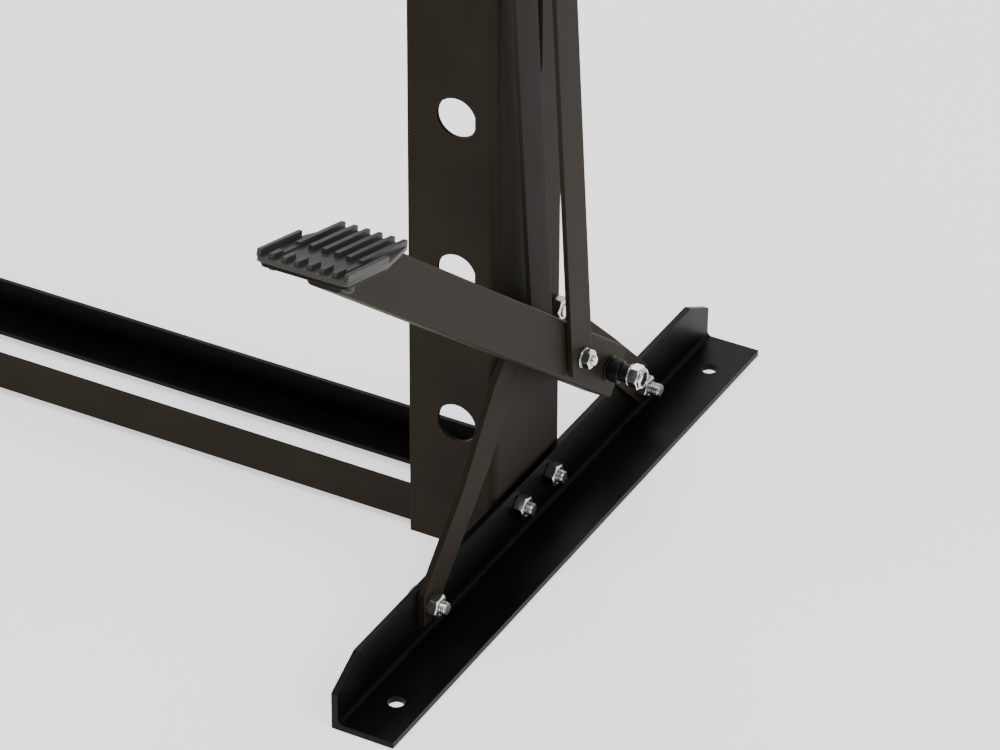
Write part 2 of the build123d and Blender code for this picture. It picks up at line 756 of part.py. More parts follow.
outside = face + brace_wall
front_top, rear_top = brace_tops
with BuildPart() as brace_bolts_near:
    hexes(web_in - m8_head, [rear_top], m8_flats, m8_head)
    discs(web_in, [rear_top], m8_d, outside + m8_nut + upper_proud - web_in)
    discs(outside, [front_top], low_head_d, low_head)
    discs(web_in - m8_nut - upper_proud, [front_top], m8_d, outside - web_in + m8_nut + upper_proud)
write(brace_bolts_near, "brace_bolts_near")
with BuildPart() as brace_nuts_near:
    hexes(outside, [rear_top], m8_flats, m8_nut, nut_bore)
    hexes(web_in - m8_nut, [front_top], m8_flats, m8_nut, nut_bore)
write(brace_nuts_near, "brace_nuts_near")
write_far(brace_bolts_near, "brace_bolts_far")
write_far(brace_nuts_near, "brace_nuts_far")

for place, cover in (("near", bracket_wall), ("far", 0.0)):
    with BuildPart() as bolts:
        hexes(cradle_back - m8_head, cradle_bolts, m8_flats, m8_head)
        discs(cradle_back, cradle_bolts, m8_d, face + cover + m8_nut + upper_proud - cradle_back)
    with BuildPart() as nuts:
        hexes(face + cover, cradle_bolts, m8_flats, m8_nut, nut_bore)
    if place == "near":
        write(bolts, "cradle_bolts_near")
        write(nuts, "cradle_nuts_near")
    else:
        write_far(bolts, "cradle_bolts_far")
        write_far(nuts, "cradle_nuts_far")

with BuildPart() as beam_bolts:
    with BuildSketch(lengthwise(-post_half)):
        with Locations(*beam_bolt_places):
            RegularPolygon(m8_flats / 2, 6, major_radius=False)
    extrude(amount=m8_head)
    with BuildSketch(lengthwise(post_half + m8_nut + bolt_proud)):
        with Locations(*beam_bolt_places):
            Circle(m8_d / 2)
    extrude(amount=post_width + m8_nut + bolt_proud)
write(beam_bolts, "beam_bolts_near")
write_far(beam_bolts, "beam_bolts_far")
with BuildPart() as beam_nuts:
    with BuildSketch(lengthwise(post_half + m8_nut)):
        with Locations(*beam_bolt_places):
            RegularPolygon(m8_flats / 2, 6, major_radius=False)
            Circle(nut_bore / 2, mode=Mode.SUBTRACT)
    extrude(amount=m8_nut)
write(beam_nuts, "beam_nuts_near")
write_far(beam_nuts, "beam_nuts_far")
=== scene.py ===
"""Looks of the pedal-clamp stand: finishes, fasteners, rubber tread, spring, welds, light and camera."""

import json
import math

import bpy
from mathutils import Matrix, Vector


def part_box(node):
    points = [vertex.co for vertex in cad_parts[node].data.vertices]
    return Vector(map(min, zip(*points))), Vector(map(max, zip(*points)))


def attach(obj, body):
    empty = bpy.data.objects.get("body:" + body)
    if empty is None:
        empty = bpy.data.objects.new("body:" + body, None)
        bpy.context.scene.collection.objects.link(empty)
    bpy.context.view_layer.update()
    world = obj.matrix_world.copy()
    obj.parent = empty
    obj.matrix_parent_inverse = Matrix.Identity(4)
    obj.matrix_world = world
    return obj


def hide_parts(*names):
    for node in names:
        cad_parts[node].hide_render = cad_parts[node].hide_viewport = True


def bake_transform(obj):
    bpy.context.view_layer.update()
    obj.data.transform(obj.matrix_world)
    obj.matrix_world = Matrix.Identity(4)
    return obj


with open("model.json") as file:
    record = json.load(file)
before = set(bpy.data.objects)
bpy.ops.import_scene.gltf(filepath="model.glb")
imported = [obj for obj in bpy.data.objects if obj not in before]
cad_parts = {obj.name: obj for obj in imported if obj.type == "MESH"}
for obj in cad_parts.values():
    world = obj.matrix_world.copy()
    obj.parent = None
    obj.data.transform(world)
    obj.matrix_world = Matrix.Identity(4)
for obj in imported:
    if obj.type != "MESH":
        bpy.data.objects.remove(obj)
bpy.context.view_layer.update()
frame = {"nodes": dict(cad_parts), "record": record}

MM = 0.001


# ---- Places taken from the CAD nodes, in millimetres ----
def low_x(node):
    return round(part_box(node)[0].x / MM, 2)


def high_x(node):
    return round(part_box(node)[1].x / MM, 2)


def centre(node):
    """Where a pin that runs along X stands: its y and z, to 0.01 mm."""
    middle = (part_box(node)[0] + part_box(node)[1]) / 2 / MM
    return round(middle.y, 2), round(middle.z, 2)


POST_WALL, BAR_WALL = 3.0, 4.0  # the foot and the braces share one wall
FACE = high_x("post_near")
WEB_IN = FACE - POST_WALL
RAIL_END = WEB_IN - BAR_WALL
FOOT_OUT = FACE + BAR_WALL
BRACE_OUT = FOOT_OUT + BAR_WALL
CRADLE_BACK = 422.0
LEVER_IN, LEVER_OUT = low_x("pedal_lever"), high_x("pedal_lever")
LEVER_MID = (LEVER_IN + LEVER_OUT) / 2
LINK_IN, LINK_OUT = low_x("link_inner"), high_x("link_outer")
LINK_PIN, ARM_PIN = centre("link_bolt_low"), centre("link_bolt_top")
PEDAL_PIVOT, ARM_PIVOT = centre("lever_pivot_stud"), centre("arm_pivot_stud")
SPRING_TOP, SPRING_LOW = centre("spring_bolt_top"), centre("spring_bolt_low")

# ---- Places and sizes that share a node, as in the CAD part ----
FOOT_BOLTS = [(-19, 25), (19, 25)]
BRACE_BOLTS = [(-128, 25), (128, 25)]
BRACE_TOP_FRONT, BRACE_TOP_REAR = (-23, 138), (23, 138)
CRADLE_BOLTS = [(-20, 655), (-20, 684), (20, 655), (20, 684)]
BEAM_BOLTS = [(413, 610), (389, 610)]
POST_SIDE = 40.0
SPRING_X, SPRING_LEAD, SPRING_RADIUS, SPRING_PITCH = 469.0, 15.0, 6.0, 2.25
SPRING_LOOP_RADIUS, SPRING_WIRE_RADIUS = 4.4, 0.95
JAW_SCREWS = [(LEVER_MID, -12), (LEVER_MID, 12)]
ARM_TOP, ARM_UNDER = 816.0, 784.0

# Fasteners
M8 = {"d": 8.0, "pitch": 1.25, "flats": 13.0, "head": 5.3, "nut": 6.5}
M6 = {"d": 6.0, "pitch": 1.0, "flats": 10.0, "head": 3.2, "nut": 5.0}
NUT_BORE_GAP, PIN_GAP, SHANK_GAP = 0.1, 0.1, 0.4
BOLT_PROUD, LONG_PROUD, UPPER_PROUD, PIN_PROUD = 4.0, 7.0, 0.8, 2.0
LOW_HEAD_D, LOW_HEAD = 18.0, 3.4
PIN_HEAD = 3.2
PIN_WASHER_D, PIN_WASHER = 12.0, 1.6
SPRING_PIN_REACH = 4.0
JAW_HEAD, JAW_SCREW_DROP = 4.0, 6.0
SIDE_GAP = 0.3  # between a turning tube and what stands beside it
SHOULDER_D, BOSS_D, BOSS_FLANGE_D, NECK_D, PIVOT_WASHER_D = 14.0, 14.0, 15.6, 11.0, 13.0
BOSS_FLANGE, BOSS_REACH, NECK_REACH, PIVOT_WASHER = 1.6, 8.8, 14.1, 1.2
LOCK_NUT, LOCK_COLLAR, STUD_PROUD = 6.0, 2.0, 0.3

# Tread
PAD_ANGLE = math.radians(15)
PAD_SEAT = (LEVER_MID, -217, 314.4)
PAD_OVERHANG = 71.0
PAD_FRONT_HALF, PAD_REAR_HALF = 27.0, 20.0
PAD_STRAIGHT, PAD_LENGTH = 43.5, 76.5
PLATE_WALL, PAD_BASE = 2.5, 2.6
STUD_U, STUD_V = 12.0, 22.0
RIB_COUNT, RIB_WALL, RIB_HEIGHT = 6, 3.0, 3.0
EDGE_RIB_WALL, EDGE_RIB_HEIGHT, STEP_HEIGHT = 2.6, 3.9, 1.2

# Camera: where it stands and how it looks
AZIMUTH = math.radians(28.679)
ELEVATION = math.radians(33.403)
ROLL = math.radians(0.271)
CAMERA_DISTANCE = 2.865
LENS_MM = 176.0
AIM = (0.39282, 0.03371, 0.07190)


# ---- Materials ----
def new_material(name):
    material = bpy.data.materials.new(name)
    material.use_nodes = True
    return material, material.node_tree.nodes, material.node_tree.links


def noise(nodes, links, scale, detail=2.0):
    place = nodes.new("ShaderNodeTexCoord")
    texture = nodes.new("ShaderNodeTexNoise")
    texture.inputs["Scale"].default_value = scale
    texture.inputs["Detail"].default_value = detail
    links.new(place.outputs["Object"], texture.inputs["Vector"])
    return texture.outputs["Fac"]


def ramp(nodes, links, source, low, high, at=(0.35, 0.65)):
    """Spreads a grey value between two colours."""
    node = nodes.new("ShaderNodeValToRGB")
    node.color_ramp.elements[0].position, node.color_ramp.elements[1].position = at
    node.color_ramp.elements[0].color = (*low, 1)
    node.color_ramp.elements[1].color = (*high, 1)
    links.new(source, node.inputs["Fac"])
    return node.outputs["Color"]


def spread(nodes, links, source, low, high):
    node = nodes.new("ShaderNodeMapRange")
    node.inputs["To Min"].default_value = low
    node.inputs["To Max"].default_value = high
    links.new(source, node.inputs["Value"])
    return node.outputs["Result"]


def surface(
    name, low, high, roughness, metallic=0.0, specular=0.5, edge=0.5, bump=0.0, grain=900.0, wear=None
):
    """A finish with mottled colour and roughness, soft edges, fine grain and, if asked, paler edges."""
    material, nodes, links = new_material(name)
    shader = nodes["Principled BSDF"]
    shader.inputs["Metallic"].default_value = metallic
    shader.inputs["Specular IOR Level"].default_value = specular
    mottle = noise(nodes, links, 22.0, 4.0)
    colour = ramp(nodes, links, mottle, low, high)
    rounded = nodes.new("ShaderNodeBevel")
    rounded.samples = 6
    rounded.inputs["Radius"].default_value = edge * MM
    if wear:
        colour = worn(nodes, links, colour, rounded, wear)
    links.new(colour, shader.inputs["Base Color"])
    links.new(spread(nodes, links, mottle, *roughness), shader.inputs["Roughness"])
    normal = rounded.outputs["Normal"]
    if bump:
        peel = nodes.new("ShaderNodeBump")
        peel.inputs["Strength"].default_value = bump
        peel.inputs["Distance"].default_value = 0.1 * MM
        links.new(noise(nodes, links, grain), peel.inputs["Height"])
        links.new(normal, peel.inputs["Normal"])
        normal = peel.outputs["Normal"]
    links.new(normal, shader.inputs["Normal"])
    return material


def worn(nodes, links, colour, rounded, wear):
    """Thins the coat where the surface turns over an edge."""
    plain = nodes.new("ShaderNodeNewGeometry")
    turn = nodes.new("ShaderNodeVectorMath")
    turn.operation = "DOT_PRODUCT"
    links.new(plain.outputs["Normal"], turn.inputs[0])
    links.new(rounded.outputs["Normal"], turn.inputs[1])
    mask = nodes.new("ShaderNodeMapRange")
    mask.inputs["From Min"].default_value = 0.97
    mask.inputs["From Max"].default_value = 0.75
    links.new(turn.outputs["Value"], mask.inputs["Value"])
    mix = nodes.new("ShaderNodeMix")
    mix.data_type = "RGBA"
    links.new(mask.outputs["Result"], mix.inputs["Factor"])
    links.new(colour, mix.inputs["A"])
    mix.inputs["B"].default_value = (*wear, 1)
    return mix.outputs["Result"]


def make_materials():
    return {
        "brown_coat": surface(
            "brown_coat", (0.0165, 0.0120, 0.0080), (0.0210, 0.0155, 0.0105), (0.46, 0.58),
            specular=0.05, edge=0.5, bump=0.25, wear=(0.085, 0.068, 0.052),
        ),
        "black_coat": surface(
            "black_coat", (0.0012, 0.0012, 0.0012), (0.0022, 0.0021, 0.0020), (0.36, 0.5),
            specular=0.1, edge=0.5, bump=0.2, wear=(0.006, 0.006, 0.006),
        ),
        "zinc": surface(
            "zinc", (0.40, 0.43, 0.42), (0.66, 0.67, 0.65), (0.12, 0.26),
            metallic=1.0, edge=0.2, bump=0.08,
        ),
        "rubber_black": surface(
            "rubber_black", (0.026, 0.0265, 0.0245), (0.034, 0.0345, 0.032), (0.46, 0.62),
            specular=0.4, edge=0.3, bump=0.35, grain=1500.0,
        ),
        "plastic_black": surface(
            "plastic_black", (0.0025, 0.0025, 0.0024), (0.004, 0.004, 0.0038), (0.38, 0.5),
            specular=0.16, edge=0.4, bump=0.05,
        ),
        "nylon_blue": surface(
            "nylon_blue", (0.004, 0.006, 0.022), (0.006, 0.009, 0.035), (0.3, 0.4),
            specular=0.3, edge=0.2,
        ),
        "bronze": surface(
            "bronze", (0.42, 0.24, 0.09), (0.5, 0.3, 0.12), (0.35, 0.5),
            metallic=1.0, edge=0.2, bump=0.1,
        ),
        "spring_steel": surface(
            "spring_steel", (0.3, 0.3, 0.31), (0.42, 0.42, 0.42), (0.22, 0.36),
            metallic=1.0, edge=0.1,
        ),
    }


def paint(obj, slot):
    obj.data.materials.clear()
    obj.data.materials.append(MATERIALS[slot])


def paint_cad():
    """Gives every CAD node the finish of its slot in the record."""
    slots = {part["node"]: part["material_slot"] for part in frame["record"]["subparts"]}
    for name, obj in frame["nodes"].items():
        paint(obj, slots[name])


# ---- Shapes: each one is (points, faces) with its axis along +Z ----
def rings_to_shape(rings, loop=False):
    """Joins rings of points, and either caps the two ends or joins the last ring to the first."""
    count = len(rings[0])
    points = [p for ring in rings for p in ring]
    faces = []
    steps = len(rings) if loop else len(rings) - 1
    for k in range(steps):
        a, b = k * count, (k + 1) % len(rings) * count
        for i in range(count):
            j = (i + 1) % count
            faces.append((a + i, a + j, b + j, b + i))
    if not loop:
        faces.append(tuple(reversed(range(count))))
        faces.append(tuple(range(len(points) - count, len(points))))
    return points, faces


def circle(radius, height, count=48):
    return [
        (radius * math.cos(2 * math.pi * i / count), radius * math.sin(2 * math.pi * i / count), height)
        for i in range(count)
    ]


def hexagon(flats, circle_d, start, inward, count=48):
    """A ring round a hexagon whose corners sink inwards along a 30-degree cone."""
    ring = []
    for i in range(count):
        angle = 2 * math.pi * i / count
        radius = flats / 2 / math.cos((angle + math.pi / 6) % (math.pi / 3) - math.pi / 6)
        drop = (radius - circle_d / 2) * math.tan(math.radians(30))
        ring.append((radius * math.cos(angle), radius * math.sin(angle), start + inward * drop))
    return ring


def hex_shape(flats, start, length, bore=0.0):
    """A hexagon head or, with a bore, a nut; its corners are turned off at both ends."""
    crown, end = 0.95 * flats, start + length
    rings = [circle(crown / 2, start), hexagon(flats, crown, start, 1)]
    rings += [hexagon(flats, crown, end, -1), circle(crown / 2, end)]
    if not bore:
        return rings_to_shape(rings)
    lip = 0.5
    rings += [circle(bore / 2 + lip, end), circle(bore / 2, end - lip)]
    rings += [circle(bore / 2, start + lip), circle(bore / 2 + lip, start)]
    return rings_to_shape(rings, loop=True)


def rod(diameter, start, end, chamfer=0.0):
    """A round bar, with both ends turned where it has a chamfer."""
    radius = diameter / 2
    rings = [circle(radius, start + chamfer), circle(radius, end - chamfer)]
    if chamfer:
        rings = [circle(radius - chamfer, start), *rings, circle(radius - chamfer, end)]
    return rings_to_shape(rings)


def collar(outer_d, inner_d, start, end, chamfer=0.3):
    """A washer or sleeve with its outer edges turned."""
    outer, inner = outer_d / 2, inner_d / 2
    rings = [
        circle(inner, start), circle(outer - chamfer, start), circle(outer, start + chamfer),
        circle(outer, end - chamfer), circle(outer - chamfer, end), circle(inner, end),
    ]
    return rings_to_shape(rings, loop=True)


def thread(size, start, end):
    """A helical thread, tapering to its root at the far end."""
    major, pitch = size["d"] / 2, size["pitch"]
    depth = 0.42 * pitch
    count, per_turn = 40, 8
    steps = max(2, round((end - start) / pitch * per_turn))
    rings = []
    for k in range(steps + 1):
        height = start + (end - start) * k / steps
        taper = min(1.0, (end - height) / (0.8 * pitch))
        ring = []
        for i in range(count):
            phase = (height / pitch - i / count) % 1
            crest = min(1.0, 2.4 * (1 - abs(2 * phase - 1)))
            radius = major - depth + depth * crest * taper
            angle = 2 * math.pi * i / count
            ring.append((radius * math.cos(angle), radius * math.sin(angle), height))
        rings.append(ring)
    return rings_to_shape(rings)


def dome(diameter, start, height):
    """A low round head."""
    steps, flat, rim = 8, 0.25, 0.2  # shares of the radius and of the height
    rings = [circle(diameter / 2, start)]
    for k in range(steps + 1):
        angle = math.pi / 2 * k / steps
        radius = diameter / 2 * (flat + (1 - flat) * math.cos(angle))
        rings.append(circle(radius, start + height * (rim + (1 - rim) * math.sin(angle))))
    return rings_to_shape(rings)


# ---- Placing shapes ----
def along(axis, place):
    """Takes a shape's +Z axis to a direction, at a place in millimetres."""
    return Matrix.Translation(Vector(place)) @ Vector(axis).to_track_quat("Z", "Y").to_matrix().to_4x4()


def across_x(places, spin=0.0, side=1):
    """Shapes drawn with their heights along X, at the near end or mirrored to the far one."""
    turn = Matrix.Rotation(math.radians(spin), 4, "Z")
    return [along((side, 0, 0), (0, y, z)) @ turn for y, z in places]


def build(name, pieces, slot, body, *nodes, smooth=35):
    """One mesh from [(matrices, shape), ...], which stands for the named CAD nodes."""
    points, faces = [], []
    for matrices, (shape_points, shape_faces) in pieces:
        for matrix in matrices:
            first = len(points)
            points += [(matrix @ Vector(p)) * MM for p in shape_points]
            faces += [tuple(first + i for i in face) for face in shape_faces]
    mesh = bpy.data.meshes.new(name)
    mesh.from_pydata(points, [], faces)
    mesh.validate()
    obj = bpy.data.objects.new(name, mesh)
    bpy.context.scene.collection.objects.link(obj)
    for polygon in mesh.polygons:
        polygon.use_smooth = True
    mesh.set_sharp_from_angle(angle=math.radians(smooth))
    paint(obj, slot)
    if body:
        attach(obj, body)
    if nodes:
        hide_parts(*nodes)
    return obj


# ---- Fasteners ----
def bolt(size, head_end, tip, nut_end):
    """Head, plain shank, and a thread that begins inside the nut."""
    nut_start = nut_end - size["nut"]
    return [
        hex_shape(size["flats"], head_end - size["head"], size["head"]),
        rod(size["d"] - SHANK_GAP, head_end, nut_start),
        thread(size, nut_start, tip),
    ]


def nut(size, start):
    return hex_shape(size["flats"], start, size["nut"], size["d"] + NUT_BORE_GAP)


def bolts_and_nuts(label, size, matrices, head_end, nut_start, proud, body, bolt_node, nut_node):
    tip = nut_start + size["nut"] + proud
    pieces = [(matrices, shape) for shape in bolt(size, head_end, tip, nut_start + size["nut"])]
    build(f"{label}_bolts_detail", pieces, "zinc", body, bolt_node)
    build(f"{label}_nuts_detail", [(matrices, nut(size, nut_start))], "zinc", body, nut_node)


def foot_fasteners(end, side):
    post = across_x(FOOT_BOLTS, 12, side)
    brace = across_x(BRACE_BOLTS, 38, side)
    post_nut_end, brace_nut_end = FOOT_OUT + M8["nut"], BRACE_OUT + M8["nut"]
    pieces = [(post, shape) for shape in bolt(M8, RAIL_END, post_nut_end + BOLT_PROUD, post_nut_end)]
    for place, proud in zip(brace, (BOLT_PROUD, LONG_PROUD)):
        pieces += [([place], shape) for shape in bolt(M8, FACE, brace_nut_end + proud, brace_nut_end)]
    build(f"foot_bolts_{end}_detail", pieces, "zinc", "frame", f"foot_bolts_{end}")
    nuts = [(post, nut(M8, FOOT_OUT)), (brace, nut(M8, BRACE_OUT))]
    build(f"foot_nuts_{end}_detail", nuts, "zinc", "frame", f"foot_nuts_{end}")


def brace_fasteners(end, side):
    rear = across_x([BRACE_TOP_REAR], 20, side)
    front = across_x([BRACE_TOP_FRONT], 5, side)
    nut_end = FOOT_OUT + M8["nut"]
    pieces = [(rear, shape) for shape in bolt(M8, WEB_IN, nut_end + UPPER_PROUD, nut_end)]
    hidden_tip = WEB_IN - M8["nut"] - UPPER_PROUD
    pieces.append((front, dome(LOW_HEAD_D, FOOT_OUT, LOW_HEAD)))
    pieces.append((front, rod(M8["d"] - PIN_GAP, hidden_tip, FOOT_OUT, 0.6)))
    build(f"brace_bolts_{end}_detail", pieces, "zinc", "frame", f"brace_bolts_{end}")
    nuts = [(rear, nut(M8, FOOT_OUT)), (front, nut(M8, WEB_IN - M8["nut"]))]
    build(f"brace_nuts_{end}_detail", nuts, "zinc", "frame", f"brace_nuts_{end}")


def upper_fasteners(end, side, cover):
    places = across_x(CRADLE_BOLTS, 17, side)
    nodes = f"cradle_bolts_{end}", f"cradle_nuts_{end}"
    bolts_and_nuts(f"cradle_{end}", M8, places, CRADLE_BACK, FACE + cover, UPPER_PROUD, "frame", *nodes)
    places = [along((0, 1, 0), (side * x, 0, z)) for x, z in BEAM_BOLTS]
    nodes = f"beam_bolts_{end}", f"beam_nuts_{end}"
    bolts_and_nuts(f"beam_{end}", M8, places, -POST_SIDE, POST_SIDE, BOLT_PROUD, "frame", *nodes)


def link_fasteners():
    low = across_x([LINK_PIN], 22)
    washer_end = LINK_OUT + PIN_WASHER
    nut_end = washer_end + M6["nut"]
    pieces = [(low, shape) for shape in bolt(M6, LINK_IN, nut_end + PIN_PROUD, nut_end)]
    build("link_bolt_low_detail", pieces, "zinc", "links", "link_bolt_low")
    washer = collar(PIN_WASHER_D, M6["d"] + 2 * PIN_GAP, LINK_OUT, washer_end)
    pieces = [(low, washer), (low, nut(M6, washer_end))]
    build("link_nut_low_detail", pieces, "zinc", "links", "link_nut_low")
    top = across_x([ARM_PIN], 10)
    pieces = [
        (top, hex_shape(M8["flats"], LINK_IN - PIN_HEAD, PIN_HEAD)),
        (top, rod(M8["d"] - PIN_GAP, LINK_IN, LINK_OUT)),
        (top, thread(M8, LINK_OUT, LINK_OUT + M8["nut"] + PIN_PROUD)),
    ]
    build("link_bolt_top_detail", pieces, "zinc", "links", "link_bolt_top")
    build("link_nut_top_detail", [(top, nut(M8, LINK_OUT))], "zinc", "links", "link_nut_top")


def spring_fasteners():
    for place, level, base, nut_start, body in (
        (SPRING_TOP, "top", LEVER_IN, LEVER_OUT, "clamp_arm"),
        (SPRING_LOW, "low", FACE, FOOT_OUT, "frame"),
    ):
        here = across_x([place], 8)
        pieces = [
            (here, hex_shape(M6["flats"], base - M6["head"], M6["head"])),
            (here, rod(M6["d"] - PIN_GAP, base, nut_start)),
            (here, thread(M6, nut_start, SPRING_X + SPRING_PIN_REACH)),
        ]
        build(f"spring_bolt_{level}_detail", pieces, "zinc", body, f"spring_bolt_{level}")
        nuts = [(here, nut(M6, nut_start))]
        build(f"spring_nut_{level}_detail", nuts, "zinc", body, f"spring_nut_{level}")


def jaw_fasteners():
    places = [along((0, 0, 1), (x, y, 0)) for x, y in JAW_SCREWS]
    pieces = [
        (places, hex_shape(M6["flats"], ARM_TOP, JAW_HEAD)),
        (places, rod(M6["d"] - PIN_GAP, ARM_UNDER - JAW_SCREW_DROP, ARM_TOP)),
    ]
    build("jaw_bolts_detail", pieces, "zinc", "clamp_arm", "jaw_bolts")


def pivot_set(label, place):
    """Stud, bush collar, washer and self-locking nut with its nylon ring."""
    here = across_x([place], 26)
    bore = M8["d"] + NUT_BORE_GAP
    boss_start, flange_end = LEVER_OUT + SIDE_GAP, LEVER_OUT + BOSS_FLANGE
    boss_end, neck_end = LEVER_OUT + BOSS_REACH, LEVER_OUT + NECK_REACH
    washer_end = neck_end + PIVOT_WASHER
    nut_end = washer_end + LOCK_NUT
    crown = nut_end + LOCK_COLLAR
    stud = [
        (here, rod(SHOULDER_D, FOOT_OUT, LEVER_IN - SIDE_GAP, 0.5)),
        (here, rod(M8["d"] - PIN_GAP, LEVER_IN - SIDE_GAP, washer_end)),
        (here, thread(M8, washer_end, nut_end + STUD_PROUD)),
    ]
    build(f"{label}_stud_detail", stud, "zinc", "frame", f"{label}_pivot_stud")
    boss = [
        (here, collar(BOSS_FLANGE_D, bore, boss_start, flange_end, 0.4)),
        (here, collar(BOSS_D, bore, flange_end, boss_end, 0.6)),
        (here, collar(NECK_D, bore, boss_end, neck_end)),
    ]
    build(f"{label}_boss_detail", boss, "plastic_black", "frame", f"{label}_pivot_boss")
    washer = [(here, collar(PIVOT_WASHER_D, bore, neck_end, washer_end))]
    build(f"{label}_washer_detail", washer, "zinc", "frame", f"{label}_pivot_washer")
    profile = [(5.2, nut_end), (6.0, nut_end), (5.9, crown - 0.7), (5.4, crown - 0.15)]
    profile += [(4.9, crown), (4.6, crown - 0.3), (4.5, nut_end)]
    rounded = rings_to_shape([circle(radius, height) for radius, height in profile], loop=True)
    lock_nut = [(here, hex_shape(M8["flats"], washer_end, LOCK_NUT, bore)), (here, rounded)]
    build(f"{label}_nut_detail", lock_nut, "zinc", "frame", f"{label}_pivot_nut")
    ring = collar(9.0, 7.4, nut_end, crown - 0.5, 0.2)
    build(f"{label}_insert_detail", [(here, ring)], "nylon_blue", "frame", f"{label}_nut_insert")


# ---- Rubber tread ----
def tread_matrix():
    run = Vector((0, math.cos(PAD_ANGLE), -math.sin(PAD_ANGLE)))
    up = Vector((0, math.sin(PAD_ANGLE), math.cos(PAD_ANGLE)))
    front = Vector(PAD_SEAT) - run * PAD_OVERHANG
    turn = Matrix((run, Vector((-1, 0, 0)), up)).transposed().to_4x4()
    return Matrix.Translation(front) @ turn


def slab(outline, low, high, draft=0.0):
    """An upright-sided plate; draft draws its top edge in."""
    middle_u = sum(u for u, v in outline) / len(outline)
    middle_v = sum(v for u, v in outline) / len(outline)

    def drawn(u, v):
        return u - draft * math.copysign(1, u - middle_u), v - draft * math.copysign(1, v - middle_v)

    foot = [(u, v, low) for u, v in outline]
    return rings_to_shape([foot, [(*drawn(u, v), high) for u, v in outline]])


def rib(start, end, v, wall, height, draft=0.15):
    half = wall / 2
    outline = [(start, v - half), (end, v - half), (end, v + half), (start, v + half)]
    base = PLATE_WALL + PAD_BASE
    return slab(outline, base - 0.2, base + height, draft)


def soften(obj, width, segments=3):
    bevel = obj.modifiers.new("soft edges", "BEVEL")
    bevel.width = width * MM
    bevel.segments = segments
    bevel.limit_method = "ANGLE"
    bevel.angle_limit = math.radians(30)


def rubber_tread():
    flank = [(0, PAD_FRONT_HALF - 3), (0.9, PAD_FRONT_HALF - 0.9), (3, PAD_FRONT_HALF)]
    flank += [(PAD_STRAIGHT, PAD_FRONT_HALF), (PAD_LENGTH - 0.6, PAD_REAR_HALF)]
    flank.append((PAD_LENGTH, PAD_REAR_HALF - 0.8))
    outline = [(u, -v) for u, v in flank] + [(u, v) for u, v in reversed(flank)]
    shapes = [slab(outline, PLATE_WALL, PLATE_WALL + PAD_BASE)]
    outer, last = PAD_REAR_HALF - RIB_WALL / 2, RIB_COUNT - 1
    for i in range(RIB_COUNT):
        v = outer * (2 * i / last - 1)
        start = 30.0 - 0.6 * abs(i - last / 2)
        shapes.append(rib(start, PAD_LENGTH - 0.4, v, RIB_WALL, RIB_HEIGHT))
        shapes.append(rib(1.5, 12.0, v, RIB_WALL, RIB_HEIGHT))
        if i in (0, last):
            shapes.append(rib(11.0, 31.0, v, EDGE_RIB_WALL, STEP_HEIGHT, 0.1))
    edge = PAD_FRONT_HALF - EDGE_RIB_WALL / 2
    for v in (edge, -edge):
        shapes.append(rib(1.2, PAD_STRAIGHT, v, EDGE_RIB_WALL, EDGE_RIB_HEIGHT, 0.1))
    for v in (-STUD_V, STUD_V):
        rings = [circle(2.0, -4.0, 20), circle(3.0, -3.2, 20), circle(3.0, PLATE_WALL + 0.5, 20)]
        points, faces = rings_to_shape(rings)
        shapes.append(([(x + STUD_U, y + v, z) for x, y, z in points], faces))
    pieces = [([tread_matrix()], shape) for shape in shapes]
    pad = build("rubber_tread", pieces, "rubber_black", "pedal", "pedal_pad", smooth=50)
    soften(pad, 0.22, 2)


# ---- Spring and welds ----
def tube(path, radius, sides=10):
    """A round wire along points; its rings are carried along without twist."""
    points = [Vector(p) for p in path]
    rings, side = [], None
    for k, point in enumerate(points):
        ahead = (points[min(k + 1, len(points) - 1)] - points[max(k - 1, 0)]).normalized()
        if side is None:
            side = ahead.orthogonal().normalized()
        side = (side - ahead * side.dot(ahead)).normalized()
        other = ahead.cross(side)
        size = radius(k) if callable(radius) else radius
        angles = [2 * math.pi * i / sides for i in range(sides)]
        rings.append([tuple(point + (side * math.cos(a) + other * math.sin(a)) * size) for a in angles])
    return rings_to_shape(rings)


def spring_hook(pin_z, way):
    """A loop round a pin, then a lead out to the coil's side."""
    y, loop = SPRING_LOW[0], SPRING_LOOP_RADIUS
    angles = [math.radians(a) for a in range(-140, 181, 16)]
    eye = [(SPRING_X, y + loop * math.sin(a), pin_z - way * loop * math.cos(a)) for a in angles]
    return eye + [(SPRING_X + out, y, pin_z + way * up) for out, up in ((0, 7), (1, 10), (4.4, 13.2))]


def coil_spring():
    """A close-wound spring between its two pins."""
    (y, low), high = SPRING_LOW, SPRING_TOP[1]
    coil_low, coil_high, per_turn = low + SPRING_LEAD, high - SPRING_LEAD, 24
    steps = math.floor((coil_high - coil_low) / SPRING_PITCH) * per_turn
    helix = []
    for k in range(steps + 1):
        angle = 2 * math.pi * k / per_turn
        side, ahead = SPRING_RADIUS * math.cos(angle), SPRING_RADIUS * math.sin(angle)
        helix.append((SPRING_X + side, y + ahead, coil_low + (coil_high - coil_low) * k / steps))
    path = spring_hook(low, 1) + helix + list(reversed(spring_hook(high, -1)))
    wire = tube(path, SPRING_WIRE_RADIUS, 8)
    spring = build("coil_spring", [([Matrix.Identity(4)], wire)], "spring_steel", None, smooth=60)
    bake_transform(spring)
    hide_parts("return_spring")


def bead(start, end, size):
    """A rippled weld bead, thinner at both ends."""
    a, b = Vector(start), Vector(end)
    steps = max(4, round((b - a).length / 0.5))

    def radius(k):
        return size * (0.86 + 0.14 * math.cos(k * 2.1)) * (0.6 if k in (0, steps) else 1)

    return tube([tuple(a.lerp(b, k / steps)) for k in range(steps + 1)], radius)


